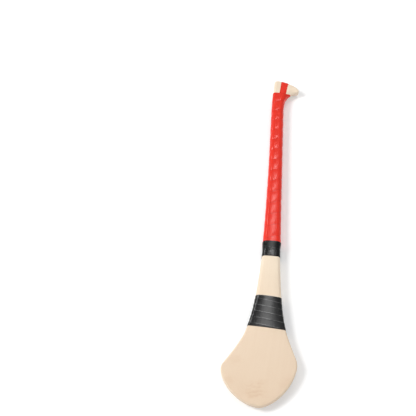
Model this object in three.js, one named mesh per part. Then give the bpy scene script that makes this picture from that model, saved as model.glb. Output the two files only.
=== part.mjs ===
// A junior hurley: a one-piece ash stick with a hooked knob and a flat bas.
// It is taped at the grip and at the throat.
// Millimetres, +Z up. It lies on its back face with the knob toward +Y and the hook toward +X.
// An outline point has two sizes: across from the handle's axis, and along from the butt.
import * as THREE from 'three';
import { mergeVertices } from 'three/addons/utils/BufferGeometryUtils.js';

// Whole stick
const stickLength = 711;

// Knob: its plain side is the toe's side, and its hook stands out on the heel's side
const knobLength = 39;
const buttOffset = 2;
const knobPlainReach = 8.2;
const knobPlainRound = 5.5;
const hookReach = 45;
const hookDrop = 24;
const hookUnderReach = 28;
const hookUnderDrop = 34;
const neckStation = 82;

// Handle and throat: reach of the wood from the axis on the toe's side and on the heel's side
const neckReach = 10.7;
const midStation = 245;
const midToeReach = 11.2;
const midHeelReach = 13;
const gripEndToeReach = 15.3;
const gripEndHeelReach = 14.7;
const throatStation = 521;
const throatToeReach = 24.6;
const throatHeelReach = 19.3;
const shoulderToeReach = 36.4;
const shoulderHeelReach = 28.4;

// Bas: the flat striking end
const flankReach = 51.5;
const flankStation = 613;
const toeReach = 74.5;
const toeHeight = 62;
const toeRound = 5;
const heelReach = 49.6;
const heelHeight = 75;
const heelRound = 9;
const basEndOffset = 11;

// Thickness of the wood
const handleThickness = 18.5;
const gripEndThickness = 19.4;
const throatThickness = 20.6;
const shoulderThickness = 18.2;
const basEndThickness = 9.5;

// Rounding of the long edges: how far it reaches over the face, and how far down the side
const knobInset = 5.5;
const knobFall = 5;
const handleInset = 7;
const handleFall = 6.5;
const throatInset = 6;
const throatFall = 5.5;
const shoulderInset = 3.4;
const shoulderFall = 3.2;
const basInset = 2.8;
const basFall = 2.8;

// Grip: one cushioned strip, wound with a lap
const gripLength = 370;
const gripPitch = 25.6;
const gripLap = 2.5;
const gripRamp = 5;
const gripEdge = 0.25;
const gripBody = 1.2;

// Finishing tape: two turns that close the grip's lower end
const finishingLength = 31;
const finishingTurns = 2;
const finishingLap = 2;
const finishingRamp = 6;
const finishingEdge = 0.2;
const finishingBody = 0.6;

// Throat tape: five courses
const throatTapeLength = 59;
const throatTapeTurns = 5;
const throatTapeLap = 2;
const throatTapeRamp = 4.5;
const throatTapeEdge = 0.2;
const throatTapeBody = 0.6;

// Strip over the butt, tucked under the grip's first turn at both ends
const stripGripWidth = 13.2;
const stripButtWidth = 15.3;
const stripThickness = 0.5;
const stripGripOffset = 9;
const stripButtOffset = 15;
const stripTuck = 1;

// Clearances
const seat = 0.3;
const turnGap = 0.55;
const tapeEndGap = 0.3;
const tipWidth = 3;
const endLand = 1;

// Roundness of the outline's quarter arcs: 2 is an ellipse, and less is flatter
const knobPlainRoundness = 2;
const hookRoundness = 1.5;
const toeArcRoundness = 1.74;
const heelArcRoundness = 1.63;

// Counts
const cornerSteps = 5;
const arcSteps = 160;
const curveSteps = 60;
const stripStepsAcross = 4;
const wrapRounds = 12;
const buttRings = 11;
const hookRings = 6;
const flareRings = 9;
const handleRings = 3;
const gripRings = 5;
const shaftRings = 6;
const throatRings = 2;
const flankRings = 6;
const heelRings = 4;
const toeRings = 5;
const basRings = 12;

// Laps of width over which a wound strip's first turn is lifted
const liftFromLaps = 1.2;
const liftToLaps = 4.9;

const quarterTurn = Math.PI / 2;

// Shares
const hookTipHandleShare = 0.5;
const hookUnderHandleShare = 0.6;
const flareHandleShare = 0.62;
const neckHandleShare = 0.6;
const thickestTapeShare = 0.5;
const thinningShare = 0.3;
const gripMiddleShares = [0.5];
const middleShare = 0.5;
const bodyFallShare = 0.5;
const throatTapeSlantShare = 0.055;

const gripEnd = knobLength + gripLength;
const finishingStart = gripEnd + tapeEndGap;
const finishingEnd = finishingStart + finishingLength;
const shoulderStation = throatStation + throatTapeLength;
const toeStation = stickLength - toeHeight;
const heelStation = stickLength - heelHeight;

const at = (across, along) => new THREE.Vector2(across, along);
const counted = (count) => Array.from({ length: count }, (unused, index) => index);

// A quarter of a superellipse, from its end that runs across the stick to its end that runs along it
function quarterArc(flatEnd, steepEnd, roundness) {
  const points = [];
  for (let step = 0; step <= arcSteps; step += 1) {
    const angle = quarterTurn * step / arcSteps;
    const outShare = Math.sin(angle) ** (2 / roundness);
    const backShare = Math.cos(angle) ** (2 / roundness);
    points.push(at(
      flatEnd.x + (steepEnd.x - flatEnd.x) * outShare,
      steepEnd.y + (flatEnd.y - steepEnd.y) * backShare,
    ));
  }
  return points;
}

const bezier = (...points) => new THREE.CubicBezierCurve(...points).getPoints(curveSteps);
const spline = (...points) => new THREE.SplineCurve(points).getPoints(curveSteps * points.length);

// Joins two runs of points that meet at a corner, and rounds the corner
function roundCorner(before, after, size) {
  const corner = after[0];
  const kept = before.filter((point) => point.distanceTo(corner) > size);
  const rest = after.filter((point) => point.distanceTo(corner) > size);
  const bend = new THREE.QuadraticBezierCurve(kept.pop(), corner, rest.shift());
  return [...kept, ...bend.getPoints(curveSteps), ...rest];
}

// One side of the outline: points from the butt to the bas's end, each with its direction into the wood
function makeSide(points, inwardSign) {
  const clean = points.filter((point, index) => index === 0 || point.y > points[index - 1].y);
  const last = clean.length - 1;
  const inward = clean.map((point, index) => {
    const before = clean[Math.max(index - 1, 0)];
    const after = clean[Math.min(index + 1, last)];
    const run = after.clone().sub(before).normalize();
    return at(inwardSign * run.y, -inwardSign * run.x);
  });
  inward[0] = at(0, 1);
  inward[last] = at(0, -1);
  return { points: clean, inward };
}

function toeSideOutline() {
  const butt = at(-buttOffset, 0);
  const knobCorner = at(-knobPlainReach, knobPlainRound);
  const neck = at(-neckReach, neckStation);
  const shoulder = at(-shoulderToeReach, shoulderStation);
  const toe = at(-toeReach, toeStation);
  const arc = quarterArc(at(-basEndOffset, stickLength), toe, toeArcRoundness).reverse();
  const run = spline(
    knobCorner,
    neck,
    at(-midToeReach, midStation),
    at(-gripEndToeReach, gripEnd),
    at(-throatToeReach, throatStation),
    shoulder,
    at(-flankReach, flankStation),
    toe,
  );
  return makeSide([
    ...quarterArc(butt, knobCorner, knobPlainRoundness),
    ...roundCorner(run, arc, toeRound),
  ], 1);
}

function heelSideOutline() {
  const butt = at(-buttOffset, 0);
  const tip = at(hookReach, hookDrop);
  const under = at(hookUnderReach, hookUnderDrop);
  const neck = at(neckReach, neckStation);
  const shoulder = at(shoulderHeelReach, shoulderStation);
  const heel = at(heelReach, heelStation);
  const slope = (hookUnderDrop - hookDrop) / (hookReach - hookUnderReach);
  const arc = quarterArc(at(-basEndOffset, stickLength), heel, heelArcRoundness).reverse();
  const beyondUnder = (across) => at(hookUnderReach + across, hookUnderDrop - slope * across);
  const hookTip = bezier(
    tip,
    at(hookReach, THREE.MathUtils.lerp(hookDrop, hookUnderDrop, hookTipHandleShare)),
    beyondUnder((hookReach - hookUnderReach) * hookUnderHandleShare),
    under,
  );
  const flare = bezier(
    under,
    beyondUnder((neckReach - hookUnderReach) * flareHandleShare),
    at(neckReach, THREE.MathUtils.lerp(neckStation, hookUnderDrop, neckHandleShare)),
    neck,
  );
  const run = spline(
    neck,
    at(midHeelReach, midStation),
    at(gripEndHeelReach, gripEnd),
    at(throatHeelReach, throatStation),
    shoulder,
    heel,
  );
  return makeSide([
    ...quarterArc(butt, tip, hookRoundness),
    ...hookTip,
    ...flare,
    ...roundCorner(run, arc, heelRound),
  ], -1);
}

const toeSide = toeSideOutline();
const heelSide = heelSideOutline();

// The outline's point at a distance from the butt, with its direction into the wood
function edgeAt(side, along) {
  const { points, inward } = side;
  let low = 0;
  let high = points.length - 1;
  while (high - low > 1) {
    const middle = Math.floor((low + high) / 2);
    if (points[middle].y > along) high = middle;
    else low = middle;
  }
  const share = THREE.MathUtils.clamp((along - points[low].y) / (points[high].y - points[low].y), 0, 1);
  return {
    point: points[low].clone().lerp(points[high], share),
    inward: inward[low].clone().lerp(inward[high], share).normalize(),
  };
}

// Value at a distance from the butt, in straight runs between the given pairs
function runs(pairs, along) {
  const next = pairs.findIndex(([station]) => station >= along);
  if (next === 0) return pairs[0][1];
  if (next < 0) return pairs[pairs.length - 1][1];
  const [fromStation, fromValue] = pairs[next - 1];
  const [toStation, toValue] = pairs[next];
  return THREE.MathUtils.mapLinear(along, fromStation, toStation, fromValue, toValue);
}

const thickestStation = throatStation + throatTapeLength * thickestTapeShare;
const thickestThickness = THREE.MathUtils.lerp(throatThickness, shoulderThickness, thinningShare);
const thicknesses = [
  [midStation, handleThickness],
  [gripEnd, gripEndThickness],
  [throatStation, throatThickness],
  [thickestStation, thickestThickness],
  [shoulderStation, shoulderThickness],
  [stickLength, basEndThickness],
];
const insets = [
  [knobLength, knobInset],
  [neckStation, handleInset],
  [throatStation, throatInset],
  [shoulderStation, shoulderInset],
  [stickLength, basInset],
];
const falls = [
  [knobLength, knobFall],
  [neckStation, handleFall],
  [throatStation, throatFall],
  [shoulderStation, shoulderFall],
  [stickLength, basFall],
];
const halfThickness = (along) => runs(thicknesses, along) / 2;

// Steps down one side of the stick, from the front face's edge to the back face's edge
const sideSteps = 2 * (cornerSteps + 1);
const loopSteps = 2 * sideSteps;

// A point on the stick's skin, or above it: step counts down the side from the front face
function skinPoint(edge, step, above) {
  const front = step <= cornerSteps;
  const cornerStep = front ? step : sideSteps - 1 - step;
  const angle = quarterTurn * (1 - cornerStep / cornerSteps);
  const inset = runs(insets, edge.point.y);
  const fall = runs(falls, edge.point.y);
  const normal = at(fall * Math.cos(angle), inset * Math.sin(angle)).normalize();
  const inwardBy = inset * (1 - Math.cos(angle)) - above * normal.x;
  const place = edge.point.clone().addScaledVector(edge.inward, inwardBy);
  const height = halfThickness(place.y) - fall * (1 - Math.sin(angle)) + above * normal.y;
  return new THREE.Vector3(place.x, -place.y, front ? height : -height);
}

// A point of the loop round the stick: down the toe's side, over the back and up the heel's side
function loopPoint(edgeAlong, step, above) {
  if (step < sideSteps) return skinPoint(edgeAt(toeSide, edgeAlong), step, above);
  return skinPoint(edgeAt(heelSide, edgeAlong), loopSteps - 1 - step, above);
}

// The same, found so that its foot on the wood lies at the given distance from the butt.
// A slanted course lies further along toward the heel's side, by the slant's share of the way across.
function wrapPoint(along, slantShare, step, above) {
  let edgeAlong = along;
  for (let round = 0; round < wrapRounds; round += 1) {
    const foot = loopPoint(edgeAlong, step, 0);
    edgeAlong += along + slantShare * foot.x + foot.y;
  }
  return loopPoint(edgeAlong, step, above);
}

// Joins equal vertices, drops the triangles that this closes up, and turns the faces outward
function closedGeometry(points, triangles) {
  const raw = new THREE.BufferGeometry();
  const places = points.flatMap((point) => point.toArray());
  raw.setAttribute('position', new THREE.Float32BufferAttribute(places, 3));
  raw.setIndex(triangles.flat());
  const merged = mergeVertices(raw);
  const index = Array.from(merged.index.array);
  const kept = [];
  for (let start = 0; start < index.length; start += 3) {
    const [a, b, c] = index.slice(start, start + 3);
    if (a !== b && b !== c && c !== a) kept.push([a, b, c]);
  }
  const corner = (vertex) => new THREE.Vector3().fromBufferAttribute(merged.attributes.position, vertex);
  const volume = kept.reduce((sum, [a, b, c]) => sum + corner(a).dot(corner(b).cross(corner(c))), 0);
  merged.setIndex(kept.flatMap(([a, b, c]) => (volume < 0 ? [a, c, b] : [a, b, c])));
  merged.computeVertexNormals();
  return merged;
}

const pushQuad = (triangles, a, b, c, d) => triangles.push([a, b, c], [a, c, d]);

// A solid skinned over closed rings of equally many points, with a fan over each end
function loft(rings) {
  const triangles = [];
  const size = rings[0].length;
  for (let ring = 0; ring + 1 < rings.length; ring += 1) {
    for (let step = 0; step < size; step += 1) {
      const next = (step + 1) % size;
      const here = ring * size;
      const there = here + size;
      pushQuad(triangles, here + step, here + next, there + next, there + step);
    }
  }
  const last = (rings.length - 1) * size;
  for (let step = 1; step + 1 < size; step += 1) {
    triangles.push([0, step + 1, step]);
    triangles.push([last, last + step, last + step + 1]);
  }
  return { points: rings.flat(), triangles };
}

// Stations between two places, closer together toward the start or the end when that end is round
function stations(from, to, count, ease = 'even') {
  const eases = {
    even: (share) => share,
    roundStart: (share) => 1 - Math.cos(quarterTurn * share),
    roundEnd: (share) => Math.sin(quarterTurn * share),
  };
  return counted(count).map((step) => THREE.MathUtils.lerp(from, to, eases[ease](step / count)));
}

function stickGeometry() {
  const toeStart = toeStation - toeRound;
  const toeEnd = toeStation + toeRound;
  const alongs = [
    ...stations(0, hookDrop, buttRings, 'roundStart'),
    ...stations(hookDrop, hookUnderDrop, hookRings),
    ...stations(hookUnderDrop, neckStation, flareRings),
    ...stations(neckStation, midStation, handleRings),
    ...stations(midStation, gripEnd, gripRings),
    ...stations(gripEnd, throatStation, shaftRings),
    ...stations(throatStation, thickestStation, throatRings),
    ...stations(thickestStation, shoulderStation, throatRings),
    ...stations(shoulderStation, heelStation - heelRound, flankRings),
    ...stations(heelStation - heelRound, toeStart, heelRings),
    ...stations(toeStart, toeEnd, toeRings),
    ...stations(toeEnd, stickLength, basRings, 'roundEnd'),
    stickLength,
  ];
  const rings = alongs.map((along) => counted(loopSteps).map((step) => loopPoint(along, step, 0)));
  const { points, triangles } = loft(rings);
  return closedGeometry(points, triangles);
}

// Step of the loop at a count of a winding, which may go down either side first.
// It starts at the front face's edge on that side.
const windingSteps = {
  downHeelSide: (count) => loopSteps - 1 - (count % loopSteps),
  downToeSide: (count) => count % loopSteps,
};

// Share of the way round the stick at each count of one turn
function wayRound(along, slantShare, windingStep) {
  const foot = (count) => wrapPoint(along, slantShare, windingStep(count), 0);
  const points = counted(loopSteps + 1).map(foot);
  const lengths = [0];
  for (let step = 1; step < points.length; step += 1) {
    lengths.push(lengths[step - 1] + points[step].distanceTo(points[step - 1]));
  }
  return lengths.map((length) => length / lengths[loopSteps]);
}

const partWay = (value, from, to) => THREE.MathUtils.clamp((value - from) / (to - from), 0, 1);

// One strip wound round the stick from the start to the end, each turn lapped over the one before.
// Its lapped edge stands over the last turn and comes down a ramp past it.
// Its other edge lies on the wood.
function wind({ name, way, start, end, pitch, lap, ramp, edge, body, middleShares, slantShare }) {
  const windingStep = windingSteps[way];
  const shares = wayRound((start + end) / 2, slantShare, windingStep);
  const step = edge + turnGap;
  const lift = step * (lap + ramp) / ramp;
  const slimWidth = 2 * lap + ramp;
  const turns = (end - start) / pitch + 1;
  const sections = [];
  for (let count = 0; count <= turns * loopSteps + loopSteps; count += 1) {
    const turn = Math.floor(count / loopSteps) + shares[count % loopSteps];
    if (turn * pitch < tipWidth || turn > turns) continue;
    const from = Math.max(start, start + pitch * (turn - 1) - lap);
    const to = Math.min(end, start + pitch * turn);
    const width = to - from;
    const raisedShare = partWay(turn * pitch, liftFromLaps * lap, liftToLaps * lap);
    const bodyShare = partWay(width, slimWidth, slimWidth + lap + ramp);
    const past = Math.max(width - lap - endLand, 0);
    const overShare = turn > 2 ? 1 - Math.min(past / ramp, 1) : 0;
    const foot = width > lap + endLand ? from + lap + Math.min(past, ramp) : from + width / 2;
    const rest = seat + step * overShare;
    const top = [];
    const under = [];
    const stand = (along, height, thickness) => {
      top.push(wrapPoint(along, slantShare, windingStep(count), height + thickness));
      under.unshift(wrapPoint(along, slantShare, windingStep(count), height));
    };
    stand(from, seat + lift * raisedShare, edge);
    stand(foot, rest, THREE.MathUtils.lerp(edge, body, bodyShare));
    middleShares.forEach((share) => stand(
      THREE.MathUtils.lerp(foot, to, share),
      rest,
      THREE.MathUtils.lerp(edge, body, bodyShare * (1 - share * bodyFallShare)),
    ));
    stand(to, rest, edge);
    sections.push([...top, ...under]);
  }
  const gap = leastTurnGap(sections);
  console.log(`${name}: ${turns.toFixed(1)} turns, least gap between turns ${gap.toFixed(2)} mm`);
  const { points, triangles } = loft(sections);
  return closedGeometry(points, triangles);
}

// Least distance from the points of each section to the sides of the section one turn on, and back
function leastTurnGap(sections) {
  let least = Infinity;
  const side = new THREE.Line3();
  const nearest = new THREE.Vector3();
  const measure = (points, ring) => {
    for (const point of points) {
      for (let corner = 0; corner < ring.length; corner += 1) {
        side.set(ring[corner], ring[(corner + 1) % ring.length]);
        least = Math.min(least, side.closestPointToPoint(point, true, nearest).distanceTo(point));
      }
    }
  };
  for (let here = 0; here + loopSteps < sections.length; here += 1) {
    measure(sections[here], sections[here + loopSteps]);
    measure(sections[here + loopSteps], sections[here]);
  }
  return least;
}

// The strip over the butt: a thin sheet on the front face, the butt's rounding and the back face
function buttStripGeometry() {
  const buttSide = heelSide.points.filter((point) => point.y <= hookDrop);
  const buttEdge = (across) => {
    const next = Math.max(1, buttSide.findIndex((point) => point.x >= across));
    const share = (across - buttSide[next - 1].x) / (buttSide[next].x - buttSide[next - 1].x);
    return edgeAt(heelSide, THREE.MathUtils.lerp(buttSide[next - 1].y, buttSide[next].y, share));
  };
  const tuckedEnd = knobLength + stripTuck;
  const rings = counted(stripStepsAcross + 1).map((stepAcross) => {
    const acrossShare = stepAcross / stripStepsAcross - middleShare;
    const edge = buttEdge(stripButtOffset + stripButtWidth * acrossShare);
    const tuckedAcross = stripGripOffset + stripGripWidth * acrossShare;
    const layer = (above) => {
      const over = counted(sideSteps).map((step) => skinPoint(edge, step, above));
      const face = halfThickness(tuckedEnd) + above;
      const front = new THREE.Vector3(tuckedAcross, -tuckedEnd, face);
      const back = new THREE.Vector3(tuckedAcross, -tuckedEnd, -face);
      return [front, ...over, back];
    };
    return [...layer(seat), ...layer(seat + stripThickness).reverse()];
  });
  const { points, triangles } = loftFlatEnds(rings);
  return closedGeometry(points, triangles);
}

// A loft whose end rings are thin bands: each end is closed by quads between the band's two edges
function loftFlatEnds(rings) {
  const { points, triangles } = loft(rings);
  const size = rings[0].length;
  const sides = triangles.slice(0, 2 * size * (rings.length - 1));
  const half = size / 2;
  for (let step = 0; step + 1 < half; step += 1) {
    const other = size - 1 - step;
    const last = size * (rings.length - 1);
    pushQuad(sides, step + 1, step, other, other - 1);
    pushQuad(sides, last + step, last + step + 1, last + other - 1, last + other);
  }
  return { points, triangles: sides };
}

const ash = new THREE.MeshStandardMaterial({ color: 0xe6cfac, roughness: 0.45, metalness: 0 });
const redGrip = new THREE.MeshStandardMaterial({ color: 0xd8342b, roughness: 0.3, metalness: 0 });
const blackTape = new THREE.MeshStandardMaterial({ color: 0x161616, roughness: 0.4, metalness: 0 });

const group = new THREE.Group();

function addPiece(name, geometry, material) {
  const piece = new THREE.Mesh(geometry, material);
  piece.name = name;
  group.add(piece);
}

addPiece('ash_stick', stickGeometry(), ash);
addPiece('butt_strip', buttStripGeometry(), redGrip);
addPiece('grip_tape', wind({
  name: 'grip tape',
  way: 'downToeSide',
  start: knobLength,
  end: gripEnd,
  pitch: gripPitch,
  lap: gripLap,
  ramp: gripRamp,
  edge: gripEdge,
  body: gripBody,
  middleShares: gripMiddleShares,
  slantShare: 0,
}), redGrip);
addPiece('finishing_tape', wind({
  name: 'finishing tape',
  way: 'downHeelSide',
  start: finishingStart,
  end: finishingEnd,
  pitch: finishingLength / finishingTurns,
  lap: finishingLap,
  ramp: finishingRamp,
  edge: finishingEdge,
  body: finishingBody,
  middleShares: [],
  slantShare: 0,
}), blackTape);
addPiece('throat_tape', wind({
  name: 'throat tape',
  way: 'downHeelSide',
  start: throatStation,
  end: shoulderStation,
  pitch: throatTapeLength / throatTapeTurns,
  lap: throatTapeLap,
  ramp: throatTapeRamp,
  edge: throatTapeEdge,
  body: throatTapeBody,
  middleShares: [],
  slantShare: throatTapeSlantShare,
}), blackTape);

// The origin is under the middle of the whole stick, on the surface that it lies on
const box = new THREE.Box3().setFromObject(group);
const middle = box.getCenter(new THREE.Vector3());
group.position.set(-middle.x, -middle.y, -box.min.z);

export default group;
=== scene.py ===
"""Looks for a junior hurley: a pale ash stick with a red wound grip and two black tapes, on a studio floor.

Lengths of the object are written in millimetres and leave this script in metres. A place on the stick has
two sizes: its reach across from the handle's axis, and its station along from the butt.
"""

import logging
import math
from dataclasses import dataclass
from enum import Enum
from typing import Any, ClassVar

import bmesh
import bpy
import numpy as np
from mathutils import Euler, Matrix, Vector


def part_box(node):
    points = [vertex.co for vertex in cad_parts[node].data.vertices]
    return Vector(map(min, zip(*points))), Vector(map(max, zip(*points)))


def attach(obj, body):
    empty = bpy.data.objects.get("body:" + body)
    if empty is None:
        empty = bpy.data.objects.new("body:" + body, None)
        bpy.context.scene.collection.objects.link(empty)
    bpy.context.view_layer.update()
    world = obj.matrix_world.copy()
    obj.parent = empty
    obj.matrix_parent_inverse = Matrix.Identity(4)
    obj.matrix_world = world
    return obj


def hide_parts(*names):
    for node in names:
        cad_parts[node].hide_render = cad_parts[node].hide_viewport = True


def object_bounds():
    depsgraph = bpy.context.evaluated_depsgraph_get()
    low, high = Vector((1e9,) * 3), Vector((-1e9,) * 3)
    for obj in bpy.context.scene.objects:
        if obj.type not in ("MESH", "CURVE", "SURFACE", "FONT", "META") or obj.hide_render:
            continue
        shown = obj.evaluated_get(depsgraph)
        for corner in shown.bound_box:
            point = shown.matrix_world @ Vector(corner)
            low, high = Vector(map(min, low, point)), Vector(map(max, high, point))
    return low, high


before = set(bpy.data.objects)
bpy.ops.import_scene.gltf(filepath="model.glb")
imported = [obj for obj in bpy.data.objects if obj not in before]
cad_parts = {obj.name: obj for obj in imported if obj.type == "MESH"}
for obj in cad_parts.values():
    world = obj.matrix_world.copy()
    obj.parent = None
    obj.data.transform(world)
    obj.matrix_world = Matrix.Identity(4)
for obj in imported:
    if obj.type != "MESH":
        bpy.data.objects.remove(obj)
cad_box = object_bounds()

MM = 0.001
MERGED_WITHIN = 0.002 * MM
RELIEF = 0.05 * MM
STICK_CREASE = math.radians(60)
STRIP_CREASE = math.radians(50)
log = logging.getLogger("hurley")

Term = Any
Parts = tuple["Expression", "Expression", "Expression"]
Colour = tuple[float, float, float, float]
Triple = tuple[float, float, float]
Pair = tuple[float, float]


class Slot(Enum):
    """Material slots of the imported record."""

    ASH = "ash"
    GRIP = "grip"
    TAPE = "tape"


class Node(Enum):
    """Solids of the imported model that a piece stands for."""

    STICK = "ash_stick"
    BUTT_STRIP = "butt_strip"
    GRIP = "grip_tape"
    FINISHING = "finishing_tape"
    THROAT = "throat_tape"


class Way(Enum):
    """Which side of the stick a strip goes down first."""

    HEEL_FIRST = 1.0
    TOE_FIRST = -1.0


class Expression:
    """A socket of a node tree that takes part in Python sums."""

    def __init__(self, sketch: "Sketch", socket: bpy.types.NodeSocket) -> None:
        """Keeps the socket with the sketch that its sums are added to."""
        self.sketch = sketch
        self.socket = socket

    def __add__(self, other: Term) -> "Expression":
        """Sum."""
        return self.sketch.math("ADD", self, other)

    def __radd__(self, other: Term) -> "Expression":
        """Sum with a number on the left."""
        return self.sketch.math("ADD", other, self)

    def __sub__(self, other: Term) -> "Expression":
        """Difference."""
        return self.sketch.math("SUBTRACT", self, other)

    def __rsub__(self, other: Term) -> "Expression":
        """Difference from a number on the left."""
        return self.sketch.math("SUBTRACT", other, self)

    def __mul__(self, other: Term) -> "Expression":
        """Product."""
        return self.sketch.math("MULTIPLY", self, other)

    def __rmul__(self, other: Term) -> "Expression":
        """Product with a number on the left."""
        return self.sketch.math("MULTIPLY", other, self)

    def __truediv__(self, other: Term) -> "Expression":
        """Quotient."""
        return self.sketch.math("DIVIDE", self, other)

    def __rtruediv__(self, other: Term) -> "Expression":
        """Quotient of a number on the left."""
        return self.sketch.math("DIVIDE", other, self)


class Sketch:
    """Adds nodes to one tree, for a material, for the world or for geometry."""

    def __init__(self, tree: bpy.types.NodeTree) -> None:
        """Keeps the tree that the nodes are added to."""
        self.tree = tree

    @classmethod
    def cleared(cls, holder: bpy.types.ID) -> "Sketch":
        """A sketch on the emptied tree of a material or a world."""
        holder.use_nodes = True
        holder.node_tree.nodes.clear()
        return cls(holder.node_tree)

    def node(self, kind: str, settings: dict[str, Any] | None = None,
             inputs: dict[int | str, Term] | None = None) -> bpy.types.Node:
        """Adds one node.

        Args:
            kind: Blender's type name of the node.
            settings: The node's own settings.
            inputs: Values or links of its sockets, by name or index.

        Returns:
            The node.
        """
        made = self.tree.nodes.new(kind)
        for key, value in (settings or {}).items():
            setattr(made, key, value)
        for key, value in (inputs or {}).items():
            if isinstance(value, Expression):
                self.tree.links.new(value.socket, made.inputs[key])
            else:
                made.inputs[key].default_value = value
        return made

    def value(self, kind: str, settings: dict[str, Any] | None = None,
              inputs: dict[int | str, Term] | None = None, output: int | str = 0) -> Expression:
        """Adds one node and gives one of its outputs.

        Args:
            kind: Blender's type name of the node.
            settings: The node's own settings.
            inputs: Values or links of its sockets.
            output: Name or index of the output.

        Returns:
            The output as an expression.
        """
        return Expression(self, self.node(kind, settings, inputs).outputs[output])

    def math(self, operation: str, *terms: Term) -> Expression:
        """Adds a Math node on the terms."""
        return self.value("ShaderNodeMath", {"operation": operation}, dict(enumerate(terms)))

    def clamp(self, value: Term, low: Term, high: Term) -> Expression:
        """Value kept between two others."""
        return self.math("MINIMUM", self.math("MAXIMUM", value, low), high)

    def ease(self, value: Term, low: Term, high: Term) -> Expression:
        """Smooth rise from 0 at the low value to 1 at the high value."""
        inputs = {"Value": value, "From Min": low, "From Max": high}
        return self.value("ShaderNodeMapRange", {"interpolation_type": "SMOOTHSTEP"}, inputs)

    def vector(self, x: Term, y: Term, z: Term) -> Expression:
        """Vector of three values."""
        return self.value("ShaderNodeCombineXYZ", inputs={0: x, 1: y, 2: z})

    def parts(self, vector: Expression) -> Parts:
        """The three values of a vector."""
        node = self.node("ShaderNodeSeparateXYZ", inputs={0: vector})
        return tuple(Expression(self, socket) for socket in node.outputs)

    def vector_math(self, operation: str, *terms: Term) -> Expression:
        """Adds a Vector Math node on the terms."""
        return self.value("ShaderNodeVectorMath", {"operation": operation}, dict(enumerate(terms)))

    def scaled(self, vector: Expression, factor: Term) -> Expression:
        """Vector times a value."""
        return self.value("ShaderNodeVectorMath", {"operation": "SCALE"}, {0: vector, "Scale": factor})

    def blend(self, share: Term, first: Term, second: Term) -> Expression:
        """Colour between two others."""
        return self.value("ShaderNodeMix", {"data_type": "RGBA"}, {0: share, 6: first, 7: second}, 2)

    def noise(self, place: Expression, scale: float = 1.0, detail: float = 2.0, roughness: float = 0.5,
              seed: Term = 0.0) -> Expression:
        """Noise from 0 to 1.

        Args:
            place: Where it is read.
            scale: How fine it is, per unit of the place.
            detail: Number of finer layers.
            roughness: Strength of the finer layers.
            seed: Which noise it is.

        Returns:
            The noise's value.
        """
        inputs = {"Vector": place, "W": seed, "Scale": scale, "Detail": detail, "Roughness": roughness}
        return self.value("ShaderNodeTexNoise", {"noise_dimensions": "4D"}, inputs, 0)

    def attribute(self, name: str, output: str = "Vector") -> Expression:
        """An attribute of the mesh."""
        return self.value("ShaderNodeAttribute", {"attribute_name": name}, output=output)

    def bump(self, height: Expression, strength: float) -> Expression:
        """Normal that a height gives, where 1 stands for a finish's full relief."""
        inputs = {"Height": height, "Distance": RELIEF, "Strength": strength}
        return self.value("ShaderNodeBump", inputs=inputs)


@dataclass(frozen=True)
class Grain:
    """A noise drawn out along a piece, with its fineness in three directions, per metre."""

    fineness: Triple
    detail: float
    roughness: float
    seed: float = 0.0

    def at(self, sketch: Sketch, place: Parts) -> Expression:
        """The grain's value from 0 to 1 at a place."""
        drawn = sketch.vector(*(part * fine for part, fine in zip(place, self.fineness)))
        return sketch.noise(drawn, detail=self.detail, roughness=self.roughness, seed=self.seed)


@dataclass(frozen=True)
class Finish:
    """What every finish has: a name, the slot it stands for, and how its material is made."""

    name: str
    slot: Slot

    def material(self) -> bpy.types.Material:
        """Builds the material.

        Returns:
            The material with its nodes.
        """
        made = bpy.data.materials.new(self.name)
        sketch = Sketch.cleared(made)
        shader = sketch.value("ShaderNodeBsdfPrincipled", inputs=self.dress(sketch))
        sketch.node("ShaderNodeOutputMaterial", inputs={"Surface": shader})
        return made

    def dress(self, sketch: Sketch) -> dict[str, Term]:
        """Works out what goes into the shader.

        Args:
            sketch: The material's sketch.

        Returns:
            Values or links of the shader's sockets, by name.
        """
        raise NotImplementedError


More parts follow.
